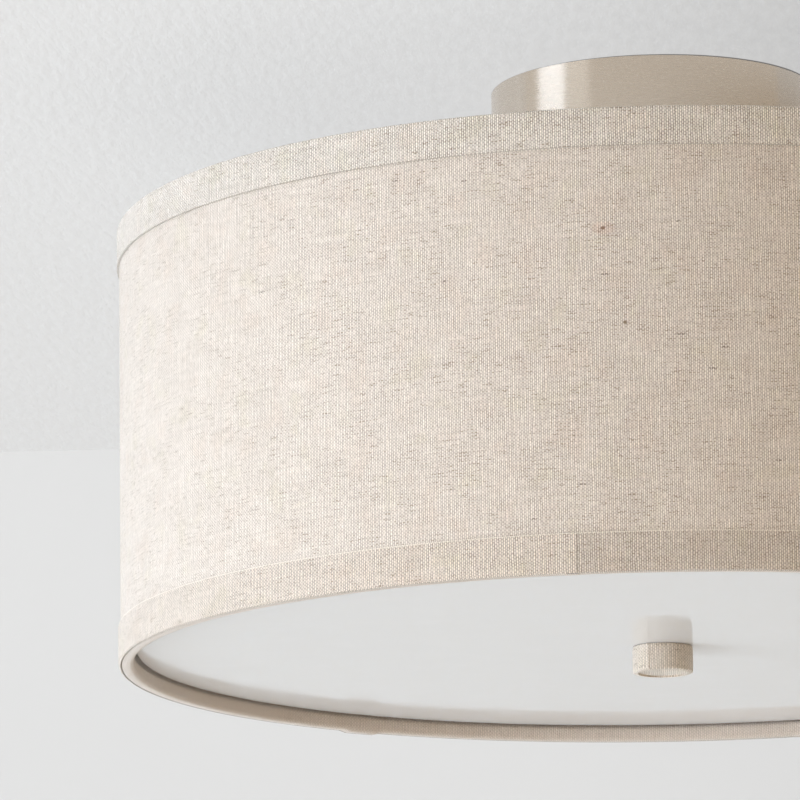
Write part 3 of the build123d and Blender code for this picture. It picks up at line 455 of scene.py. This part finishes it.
skin_low, skin_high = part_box("shade_linen")
liner_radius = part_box("shade_liner")[1].x
liner_thickness = 0.0005
skin_radius = 0.20235
linen_thickness = 0.0006
linen_lap = 0.010
linen_join = 125.0
glue_gap = 0.00005
sharp_fold = radians(50)
around = 400
skin_height = skin_high.z - skin_low.z
skin_length = 2 * pi * liner_radius + linen_lap
lap_start = skin_length / 2 - linen_lap
lap_edge = 0.0005
hair = 0.0001
skin_along = even_steps(-skin_length / 2, lap_start - lap_edge, around)
skin_along += even_steps(lap_start, skin_length / 2, 6)
shade_skin = flat_cloth("shade_skin", skin_along, even_steps(-skin_height / 2, skin_height / 2, 12))
for vertex in shade_skin.data.vertices:
    if vertex.co.x > lap_start - hair:
        vertex.co.y -= linen_thickness + glue_gap
    vertex.co.z += (skin_low.z + skin_high.z) / 2
wrap_cloth(shade_skin, liner_radius + glue_gap, linen_join, linen_thickness)
shade_linen, tree, shader, weave = linen_finish(
    "shade linen", (0.913, 0.825, 0.765), (0.27, 0.215, 0.175), 0.78, relief=0.00017)

# A brown knot with a blushed ring round it, and dark flax stubs in single wefts: each is its place along
# and across the cut, and its half length.
knot_place, knot_size = (-0.1412, 0.0392), 0.0010
stubs = ((-0.1408, 0.0227, 0.0024), (-0.1985, 0.0242, 0.0014), (-0.0815, -0.0437, 0.0016),
         (-0.1039, -0.0114, 0.0020), (-0.1671, -0.0627, 0.0016), (-0.0996, -0.0039, 0.0022),
         (-0.1150, 0.0410, 0.0012), (-0.1500, -0.0513, 0.0022), (-0.1148, 0.0008, 0.0028),
         (-0.1908, 0.0594, 0.0014), (-0.2175, 0.0623, 0.0016), (-0.2780, 0.0308, 0.0020))
stub_width = 0.00034
cloth_map = add_node(tree, "UVMap", uv_map="cloth_map").outputs[0]


def spot_on_cloth(tree, cloth_map, along, across, half_length, half_width):
    """1 inside an oval on the cloth, fading to 0 at its edge."""
    moved = add_node(tree, "VectorMath", {0: cloth_map, 1: (along, across, 0)},
                     operation="SUBTRACT").outputs[0]
    sized = add_node(tree, "VectorMath", {0: moved, 1: (1 / half_length, 1 / half_width, 1)},
                     operation="MULTIPLY").outputs[0]
    reach = add_node(tree, "VectorMath", {0: sized}, operation="LENGTH").outputs["Value"]
    return spread(tree, reach, 1.0, 0.55)


stub_mask = 0.0
for along, across, half_length in stubs:
    stub_mask = math_node(tree, "MAXIMUM", stub_mask,
                          spot_on_cloth(tree, cloth_map, along, across, half_length, stub_width))
stub_mask = math_node(tree, "MULTIPLY", stub_mask,
                      spread(tree, weave.outputs["Height"], 1.0, 0.3, 0.25, 0.95))
knot_mask = spot_on_cloth(tree, cloth_map, *knot_place, knot_size, knot_size * 0.8)
blush = spot_on_cloth(tree, cloth_map, *knot_place, knot_size * 5, knot_size * 3)
blushed = mixed_colour(tree, math_node(tree, "MULTIPLY", blush, 0.6), weave.outputs["Color"],
                       (0.97, 0.86, 0.82, 1), "MULTIPLY")
stubbed = mixed_colour(tree, stub_mask, blushed, (0.13, 0.09, 0.07, 1))
knotted = mixed_colour(tree, math_node(tree, "MULTIPLY", knot_mask, 0.9), stubbed, (0.22, 0.12, 0.08, 1))
tree.links.new(knotted, shader.inputs["Base Color"])
shade_skin.data.materials.append(shade_linen)
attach(shade_skin, "root")
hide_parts("shade_linen")

# ------------------------------------------------------------------ trim bands
# A linen strip over each edge of the drum: it shows 14 mm on the outside, turns round the wire ring and
# ends in a short hem inside. Folded, glued, and lapped once.
trim_thickness = 0.0008
trim_shown = 0.014
ring_wire = 0.0026
edge_round = 0.0009
crease_side = 0.00030
crease_bend = 0.0001
hem_round = 0.0015
hem_rise = 0.0026
wire_round = ring_wire / 2 + trim_thickness
liner_inner = liner_radius - liner_thickness
hem_inner = 0.1977
hem_turned_back = 0.0003
hem_glued = 0.0040
band_lap = 0.005
band_lap_rise = 0.00013
band_lap_edge = 0.0006
edge_dot_pitch = 0.0016
turn_step = 0.00030
run_step = 0.002
quarter = pi / 2
sixth = pi / 3
# The skin's lap lifts the bottom band where it passes over it: sharp at the lap's own edge, soft behind it.
# The first three are degrees round the drum.
lap_angle = 3.6
lap_sharp = 0.12
lap_soft = 0.9
lap_rise = 0.0007
lap_clear = 0.0004


def fold_stations(folds):
    """Places along a folded strip: steps along every run, and closer ones round every turn."""
    stations = [0.0]
    for length, turn in folds:
        count = max(1, round(length / (turn_step if turn else run_step)))
        stations += even_steps(stations[-1], stations[-1] + length, count)[1:]
    return stations


def fold_place(folds, distance):
    """(inwards, up, heading) of a folded strip's shown face, which starts off going down (heading 0) and
    turns inwards by each fold's (length, turn)."""
    inward, up, heading = 0.0, 0.0, 0.0
    for length, turn in folds:
        gone = min(length, max(distance, 0.0))
        if turn:
            bent = turn / length
            new_heading = heading + bent * gone
            inward += (cos(heading) - cos(new_heading)) / bent
            up -= (sin(new_heading) - sin(heading)) / bent
            heading = new_heading
        else:
            inward += sin(heading) * gone
            up -= cos(heading) * gone
        distance -= length
    return inward, up, heading


def trim_band(name, node, upright, join_angle):
    """A trim band over one edge of the drum, with its flat width and length. upright is 1 at the bottom
    edge and -1 at the top one."""
    low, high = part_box(node)
    radius = skin_radius + trim_thickness + glue_gap
    crease_run = 2 * crease_side * sin(sixth / 2)
    edge_to_hem = radius - edge_round - crease_run - hem_inner - hem_round
    crest_to_liner = liner_inner - trim_thickness - hem_inner - wire_round - hem_turned_back
    folds = (
        (trim_shown - edge_round, 0.0),
        (edge_round * quarter, quarter),
        (crease_bend, sixth), (crease_side, 0.0),
        (crease_bend, -2 * sixth), (crease_side, 0.0),
        (crease_bend, sixth),
        (edge_to_hem, 0.0),
        (hem_round * quarter, quarter),
        (hem_rise, 0.0),
        (wire_round * quarter, quarter),
        (crest_to_liner, 0.0),
        (hem_turned_back * quarter, -quarter),
        (hem_glued, 0.0),
    )
    width = sum(length for length, turn in folds)
    length = 2 * pi * radius + band_lap
    lap_from = length / 2 - band_lap
    skin_lap_at = radius * radians((linen_join - join_angle) % 360 - 180)
    lap_places = [skin_lap_at + radius * radians(past)
                  for past in (-lap_sharp, 0, lap_angle, lap_angle + lap_soft / 2, lap_angle + lap_soft)]
    along = even_steps(-length / 2, lap_from - band_lap_edge, around) + even_steps(lap_from, length / 2, 4)
    if upright > 0:
        along = [place for place in along if min(abs(place - lap) for lap in lap_places) > lap_clear]
        along = sorted(along + lap_places)
    across = [station - width / 2 for station in fold_stations(folds)]
    band = flat_cloth(name, along, across)
    edge = low.z + trim_shown if upright > 0 else high.z - trim_shown
    for vertex in band.data.vertices:
        inward, up, heading = fold_place(folds, vertex.co.z + width / 2)
        proud = band_lap_rise if vertex.co.x > lap_from - hair else 0.0
        if upright > 0:
            past = degrees((vertex.co.x - skin_lap_at) / radius)
            behind = max(0.0, past - lap_angle)
            proud += lap_rise * min(1.0, max(0.0, 1 + past / lap_sharp)) * max(0.0, 1 - behind / lap_soft)
        vertex.co.y = inward - proud * max(0.0, cos(heading))
        vertex.co.z = edge + upright * (up - proud * max(0.0, sin(heading)))
    if upright > 0:
        band.data.flip_normals()
    wrap_cloth(band, radius, join_angle, trim_thickness - glue_gap, grow=-1.0)
    return band, width, length


def trim_finish(name, thread, width, edge_shade_and_glint_colour, edge_reach):
    """Trim linen with a painted shadow along the crease under the drum's edge, a painted line along the
    free edge (a shadow under the top band's edge, a dotted highlight on the bottom band's), and a hem
    pressed smooth."""
    finish, tree, shader, weave = linen_finish(name, thread, (0.185, 0.15, 0.12), 0.78, relief=0.00026,
                                               warp_pitch=0.00077)
    cloth_map = add_node(tree, "UVMap", uv_map="cloth_map").outputs[0]
    along, across = add_node(tree, "SeparateXYZ", {0: cloth_map}).outputs[:2]
    crease_at = trim_shown - edge_round + edge_round * quarter + crease_side - width / 2
    # Painted shadow along the crease under the drum's edge.
    from_crease = math_node(tree, "ABSOLUTE", math_node(tree, "SUBTRACT", across, crease_at))
    crease_shadow = spread(tree, from_crease, 0.00045, 0.00015, 0.0, 0.75)
    turned_in = spread(tree, across, crease_at + 0.0006, crease_at + 0.0016, 0.0, 0.6)
    pressed = mixed_colour(tree, turned_in, weave.outputs["Color"], (0.68, 0.592, 0.532, 1))
    # Painted line along the free edge: a shadow under the top band's edge, a dotted highlight on the bottom
    # band's.
    from_edge = math_node(tree, "ADD", across, width / 2)
    wefts = math_node(tree, "DIVIDE", along, edge_dot_pitch)
    dots = spread(tree, math_node(tree, "PINGPONG", wefts, 0.5), 0.1, 0.4, 0.55, 1.0)
    edge_shade_and_glint = math_node(tree, "MULTIPLY", spread(tree, from_edge, edge_reach, edge_reach * 0.4), dots)
    edge_shade_and_glint = math_node(tree, "MULTIPLY", edge_shade_and_glint, 0.8)
    edge_painted = mixed_colour(tree, edge_shade_and_glint, pressed, (*edge_shade_and_glint_colour, 1))
    crease_shadowed = mixed_colour(tree, crease_shadow, edge_painted, (0.10, 0.08, 0.07, 1))
    tree.links.new(crease_shadowed, shader.inputs["Base Color"])
    return finish


# Both bands are one linen: the bottom band's darker thread is painted shade. Their edge colours are painted
# light: a shadow line for the top band, a highlight for the bottom one.
for name, node, upright, join_angle, thread, edge_shade_and_glint_colour, edge_reach in (
    ("top_trim_band", "top_trim", -1, 131.0, (0.985, 0.905, 0.845), (0.30, 0.25, 0.20), 0.00024),
    ("bottom_trim_band", "bottom_trim", 1, 261.1, (0.835, 0.735, 0.665), (0.93, 0.86, 0.78), 0.00034),
):
    band, width, length = trim_band(name, node, upright, join_angle)
    band.data.materials.append(trim_finish(name.replace("_", " ") + " linen", thread, width, edge_shade_and_glint_colour,
                                           edge_reach))
    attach(band, "root")
    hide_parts(node)

# ------------------------------------------------------------------ diffuser
# A disc of opal white acrylic, cut and polished, under the bulbs. It lies on the finial and mirrors the
# finial and the hem at a low angle. A nylon washer above it and one in the finial.
acrylic = moulded_finish("opal acrylic", (0.755, 0.762, 0.79), (0.745, 0.752, 0.78), 0.07, peel=30.0,
                         peel_depth=0.00002, IOR=1.49)
dress(acrylic, "diffuser")
nylon = moulded_finish("nylon", (0.80, 0.79, 0.75), (0.76, 0.75, 0.71), 0.40)
dress(nylon, "stop_washer", "finial_washer")

# ------------------------------------------------------------------ finial
# A turned aluminium core covered like a button: a linen strip round it, turned in over both edges, and a
# linen disc under it. It screws onto the rod and holds the diffuser up.
turned_aluminium = metal_finish("turned aluminium", (0.72, 0.72, 0.73), (0.56, 0.56, 0.57), 0.28,
                                stretch=(1, 1, 25))[0]
dress(turned_aluminium, "finial_core")

core_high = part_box("finial_core")[1]
disc_low, disc_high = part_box("finial_disc")
core_radius = core_high.x
wrap_thickness = 0.0007
wrap_lap = 0.003
wrap_lap_soft = 0.0006
wrap_lap_rise = 0.00025
wrap_join = 235.0
turn_in = 0.0014
upper_turn = 0.6
wrap_shown = core_high.z - disc_low.z
wrap_width = wrap_shown + 2 * turn_in
wrap_length = 2 * pi * core_radius + wrap_lap
finial_strip = flat_cloth("finial_strip", even_steps(-wrap_length / 2, wrap_length / 2, 96),
                          even_steps(-wrap_width / 2, wrap_width / 2, 24))
for vertex in finial_strip.data.vertices:
    across = vertex.co.z + wrap_width / 2
    low_turn = max(0.0, turn_in - across)
    high_turn = max(0.0, across - turn_in - wrap_shown)
    into_lap = vertex.co.x - (wrap_length / 2 - wrap_lap - wrap_lap_soft)
    over_lap = min(1.0, max(0.0, into_lap / wrap_lap_soft))
    height = min(max(across - turn_in, 0.0), wrap_shown - wrap_thickness)
    vertex.co.y = low_turn + high_turn * upper_turn - over_lap * wrap_lap_rise
    vertex.co.z = disc_low.z + wrap_thickness / 2 + height
wrap_cloth(finial_strip, core_radius, wrap_join, wrap_thickness - glue_gap)
finial_linen = linen_finish("finial linen", (0.88, 0.79, 0.705), (0.27, 0.215, 0.17), 0.65,
                            relief=0.00020)[0]
finial_strip.data.materials.append(finial_linen)
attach(finial_strip, "finial")
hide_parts("finial_wrap")

# The disc is tucked a little inside the wrap's lower edge, and dished by its glue.
disc_tuck = 0.0006
disc_dish = 0.0002
disc_rings = 5
ring_shrink = 0.72
disc_radius = disc_high.x - disc_tuck
bpy.ops.object.select_all(action="DESELECT")
bpy.ops.mesh.primitive_circle_add(vertices=64, radius=disc_radius, fill_type="NOTHING",
                                  location=(0, 0, disc_low.z))
finial_cap = bpy.context.object
finial_cap.name = "finial_cap"
bpy.ops.object.mode_set(mode="EDIT")
bpy.ops.mesh.select_all(action="SELECT")
for ring in range(disc_rings):
    bpy.ops.mesh.extrude_edges_move()
    bpy.ops.transform.resize(value=(ring_shrink, ring_shrink, 1))
bpy.ops.mesh.merge(type="CENTER")
bpy.ops.mesh.select_all(action="SELECT")
bpy.ops.mesh.normals_make_consistent(inside=False)
bpy.ops.object.mode_set(mode="OBJECT")
bpy.ops.object.transform_apply(location=True, rotation=True, scale=True)
for vertex in finial_cap.data.vertices:
    reach = vertex.co.xy.length / disc_radius
    vertex.co.z += wrap_thickness - disc_dish * (1 - reach ** 4)
cap_map = finial_cap.data.uv_layers.new(name="cloth_map")
for loop in finial_cap.data.loops:
    cap_map.data[loop.index].uv = finial_cap.data.vertices[loop.vertex_index].co.xy
body = finial_cap.modifiers.new("thickness", "SOLIDIFY")
body.thickness = wrap_thickness * 0.8
body.offset = 0.0
bpy.ops.object.modifier_apply(modifier=body.name)
bpy.ops.object.shade_smooth_by_angle(angle=sharp_fold)
finial_cap.data.materials.append(finial_linen)
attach(finial_cap, "finial")
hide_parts("finial_disc")

# ------------------------------------------------------------------ room
# A plastered ceiling with the outlet box's hole, a hair off level so that the canopy's rim stands off it on
# the right, the wall behind and a pale floor far below. Seen from behind they are clear.
glow_share = 0.85
canopy_shadow_radii = (0.0605, 0.0613)


def room_finish(name, colour, glow, shade_right, far_shade_tint, fading, relief):
    """Painted plaster that mostly shows its own even paleness, with part of the light and shade on it.
    Right of the lamp, away from the window, the paleness carries painted shade: it is dimmed to the given
    share and takes on the given warm tint further right. fading is an axis, where the paleness starts to
    fade along it, where that ends, and what is left there. The ceiling carries a painted shadow where the
    canopy covers it."""
    finish, tree, shader = new_finish(name, Roughness=0.9, Specular_IOR_Level=0.2)
    place = add_node(tree, "TexCoord").outputs["Object"]
    cloud = add_node(tree, "TexNoise", {"Vector": place, "Scale": 3.0, "Detail": 3.0}).outputs[0]
    lumps = add_node(tree, "Mapping", {"Vector": place, "Scale": (1.0, 0.3, 1.0)}).outputs[0]
    stipple = add_node(tree, "TexNoise", {"Vector": lumps, "Scale": 240.0, "Detail": 3.0}).outputs[0]
    darker = tuple(0.97 * value for value in colour)
    clouded = mixed_colour(tree, cloud, (*colour, 1), (*darker, 1))
    tree.links.new(clouded, shader.inputs["Base Color"])
    bump(tree, shader, stipple, relief, 0.6)
    rays = add_node(tree, "LightPath").outputs
    seen = math_node(tree, "MAXIMUM", rays["Is Camera Ray"], rays["Is Glossy Ray"])
    seen = math_node(tree, "MAXIMUM", seen, rays["Is Transmission Ray"])
    axes = add_node(tree, "SeparateXYZ", {0: place}).outputs
    axis, fade_from, fade_to, faded = fading
    # Painted shade: the paleness dims right of the lamp, away from the window, and turns warm further
    # right.
    level = math_node(tree, "MULTIPLY", spread(tree, axes[0], -0.10, 0.30, 1.0, shade_right),
                      spread(tree, axes[axis], fade_from, fade_to, 1.0, faded))
    from_lamp = add_node(tree, "VectorMath", {0: place}, operation="LENGTH").outputs["Value"]
    # Painted shadow on the ceiling inside the canopy's rim.
    level = math_node(tree, "MULTIPLY", level, spread(tree, from_lamp, *canopy_shadow_radii, 0.2, 1.0))
    speckle_depth = relief * 10
    speckle = math_node(tree, "MULTIPLY", spread(tree, stipple, 0.30, 0.70, -speckle_depth, speckle_depth),
                        spread(tree, axes[0], -0.22, 0.05, 0.3, 1.0))
    level = math_node(tree, "MULTIPLY", level, math_node(tree, "ADD", speckle, 1.0))
    far_shaded_glow = tuple(share * value for share, value in zip(far_shade_tint, glow))
    tint = mixed_colour(tree, spread(tree, axes[0], 0.06, 0.17), (*glow, 1), (*far_shaded_glow, 1))
    even = add_node(tree, "Emission", {"Color": tint, "Strength": level})
    painted = add_node(tree, "MixShader", {0: math_node(tree, "MULTIPLY", seen, glow_share),
                                           1: shader.outputs[0], 2: even.outputs[0]})
    clear = add_node(tree, "BsdfTransparent")
    back = add_node(tree, "NewGeometry").outputs["Backfacing"]
    surface = add_node(tree, "MixShader", {0: back, 1: painted.outputs[0], 2: clear.outputs[0]})
    tree.links.new(surface.outputs[0], tree.nodes["Material Output"].inputs["Surface"])
    return finish


wall_distance = 0.690
ceiling_gap, ceiling_tilt = 0.0003, 0.004
room_reach = 4.0
room_height = 2.4
box_hole = 0.052

bpy.ops.object.select_all(action="DESELECT")
bpy.ops.mesh.primitive_circle_add(vertices=96, radius=box_hole, fill_type="NOTHING", location=(0, 0, 0))
ceiling = bpy.context.object
ceiling.name = "ceiling"
bpy.ops.object.mode_set(mode="EDIT")
bpy.ops.mesh.select_all(action="SELECT")
bpy.ops.mesh.extrude_edges_move()
bpy.ops.transform.resize(value=(room_reach / box_hole, room_reach / box_hole, 1))
bpy.ops.object.mode_set(mode="OBJECT")
for vertex in ceiling.data.vertices:
    vertex.co.y = min(vertex.co.y, wall_distance)
    vertex.co.z = ceiling_gap + ceiling_tilt * vertex.co.x

bpy.ops.object.select_all(action="DESELECT")
bpy.ops.mesh.primitive_plane_add(size=2 * room_reach, location=(0, wall_distance, -room_height / 2),
                                 rotation=(pi / 2, 0, 0))
wall = bpy.context.object
wall.name = "wall"
bpy.ops.transform.resize(value=(1, 1, room_height / (2 * room_reach)))

bpy.ops.object.select_all(action="DESELECT")
bpy.ops.mesh.primitive_plane_add(size=2 * room_reach,
                                 location=(0, wall_distance - room_reach, -room_height))
floor = bpy.context.object
floor.name = "floor"

for surface, inward, colour, glow, shade_right, far_shade_tint, fading, relief in (
    (ceiling, Vector((0, 0, -1)), (0.90, 0.90, 0.90), (0.76, 0.76, 0.76), 0.57, (0.80, 0.63, 0.46),
     (1, -0.20, 0.69, 0.955), 0.0025),
    (wall, Vector((0, -1, 0)), (0.80, 0.80, 0.80), (0.758, 0.758, 0.758), 0.87, (1.0, 1.0, 1.0),
     (2, -0.05, -0.18, 0.98), 0.0001),
    (floor, Vector((0, 0, 1)), (0.80, 0.80, 0.80), (0.77, 0.77, 0.77), 1.0, (1.0, 1.0, 1.0),
     (1, -4.0, 4.0, 1.0), 0.0004),
):
    select_only(surface)
    bpy.ops.object.transform_apply(location=True, rotation=True, scale=True)
    if surface.data.polygons[0].normal.dot(inward) < 0:
        surface.data.flip_normals()
    surface.data.materials.append(room_finish(surface.name + " paint", colour, glow, shade_right, far_shade_tint,
                                              fading, relief))

# ------------------------------------------------------------------ daylight
# A tall window on the left, a little towards the camera, with a curtain and the gap beside it, light thrown
# back from the left and a little from the right, and the soft warm light of the rest of the room.
lit_point = Vector((0, 0, -0.3))


def soft_lamp(name, angle, distance, height, width, tall, power, colour):
    """A soft rectangular lamp that faces the shade, at an angle from the front, positive to the right."""
    light = bpy.data.lights.new(name, "AREA")
    light.shape = "RECTANGLE"
    light.size = width
    light.size_y = tall
    light.energy = power
    light.color = colour
    lamp = bpy.data.objects.new(name, light)
    bpy.context.scene.collection.objects.link(lamp)
    turned = radians(angle)
    lamp.location = (distance * sin(turned), -distance * cos(turned), height)
    lamp.rotation_euler = (lit_point - lamp.location).to_track_quat("-Z", "Y").to_euler()
    lamp.visible_camera = False
    return lamp


soft_lamp("window", -75, 2.0, -0.53, 0.82, 0.86, 15.7, (0.73, 0.84, 1.0))
soft_lamp("curtain", -53, 2.0, -0.53, 0.60, 0.86, 2.4, (0.85, 0.93, 1.0))
soft_lamp("gap beside the curtain", -108, 2.0, -0.53, 0.05, 0.86, 0.27, (0.80, 0.90, 1.0))
bounce = soft_lamp("bounce from the left", -60, 2.0, -0.90, 0.9, 1.7, 26.8, (0.80, 0.925, 1.0))
bounce.visible_glossy = False
room_right = soft_lamp("light from the right", 38, 2.0, -0.35, 0.9, 0.6, 1.9, (1.0, 0.93, 0.86))
room_right.visible_glossy = False

world = bpy.data.worlds.new("room light")
bpy.context.scene.world = world
world.use_nodes = True
world.node_tree.nodes["Background"].inputs["Color"].default_value = (0.79, 0.625, 0.42, 1)
world.node_tree.nodes["Background"].inputs["Strength"].default_value = 1.0

# ------------------------------------------------------------------ camera
# A long lens from below and in front, looking up at the drum's left half. Its place, its turn and its lens
# are those that put the drum's, the canopy's and the finial's edges where the photo has them.
eye = Vector((0, -2.57071, -0.62749))
yaw, pitch, roll = 0.03774, 0.19607, -0.01186
focal_pixels = 6958.9
picture_width = 800

forward = Vector((-sin(yaw) * cos(pitch), cos(yaw) * cos(pitch), sin(pitch)))
level = Vector((cos(yaw), sin(yaw), 0))
upward = level.cross(forward)
right = level * cos(roll) + upward * sin(roll)
up = upward * cos(roll) - level * sin(roll)
camera_data = bpy.data.cameras.new("camera")
camera_data.sensor_width = 36
camera_data.lens = camera_data.sensor_width * focal_pixels / picture_width
camera_data.clip_end = 60
camera = bpy.data.objects.new("camera", camera_data)
bpy.context.scene.collection.objects.link(camera)
camera.matrix_world = Matrix.Translation(eye) @ Matrix((right, up, -forward)).transposed().to_4x4()
bpy.context.scene.camera = camera
